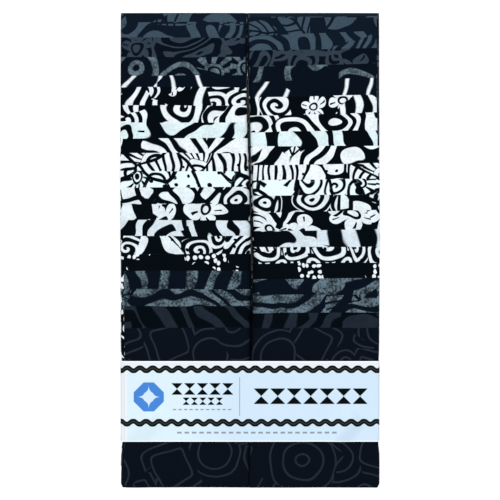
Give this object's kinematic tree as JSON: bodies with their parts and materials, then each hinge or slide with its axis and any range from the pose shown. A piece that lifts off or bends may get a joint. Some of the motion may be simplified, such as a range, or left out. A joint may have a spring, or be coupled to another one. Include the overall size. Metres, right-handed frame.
{
  "type": "folded pack of fabric strips",
  "caption": "Quilting fabric strips folded back and forth into shingled columns side by side, held together by a paper band.",
  "frame": {"origin": "bottom centre of the pack's box, on the surface that it lies on", "axes": "+Z out of the front face, +Y towards the end away from the paper band, +X to the right as the front is seen"},
  "size_m": [0.1028, 0.189, 0.0463],
  "materials": {
    "cloth_slate": "plain woven cotton, printed slate on navy black",
    "cloth_steel": "plain woven cotton, printed mottled blue grey on navy black",
    "cloth_ink": "plain woven cotton, printed with a little grey or white on navy black",
    "cloth_ink_white": "plain woven cotton, printed white on navy black",
    "cloth_pale": "plain woven cotton, printed mostly cool white with navy black lines",
    "paper": "smooth cool white paper"
  },
  "bodies": {
    "root": {"left_strip_01": "cloth_slate", "left_strip_02": "cloth_slate", "left_strip_03": "cloth_slate", "left_strip_04": "cloth_steel", "left_strip_05": "cloth_ink", "left_strip_06": "cloth_ink_white", "left_strip_07": "cloth_ink_white", "left_strip_08": "cloth_pale", "left_strip_09": "cloth_pale", "left_strip_10": "cloth_pale", "left_strip_11": "cloth_pale", "left_strip_12": "cloth_ink_white", "left_strip_13": "cloth_ink_white", "left_strip_14": "cloth_ink_white", "left_strip_15": "cloth_pale", "left_strip_16": "cloth_ink", "left_strip_17": "cloth_slate", "left_strip_18": "cloth_steel", "left_strip_19": "cloth_ink", "left_strip_20": "cloth_ink", "right_strip_01": "cloth_slate", "right_strip_02": "cloth_slate", "right_strip_03": "cloth_slate", "right_strip_04": "cloth_steel", "right_strip_05": "cloth_ink", "right_strip_06": "cloth_ink_white", "right_strip_07": "cloth_ink_white", "right_strip_08": "cloth_pale", "right_strip_09": "cloth_pale", "right_strip_10": "cloth_pale", "right_strip_11": "cloth_pale", "right_strip_12": "cloth_ink_white", "right_strip_13": "cloth_ink_white", "right_strip_14": "cloth_ink_white", "right_strip_15": "cloth_pale", "right_strip_16": "cloth_ink", "right_strip_17": "cloth_slate", "right_strip_18": "cloth_steel", "right_strip_19": "cloth_ink", "right_strip_20": "cloth_ink", "paper_band": "paper"}
  },
  "joints": []
}
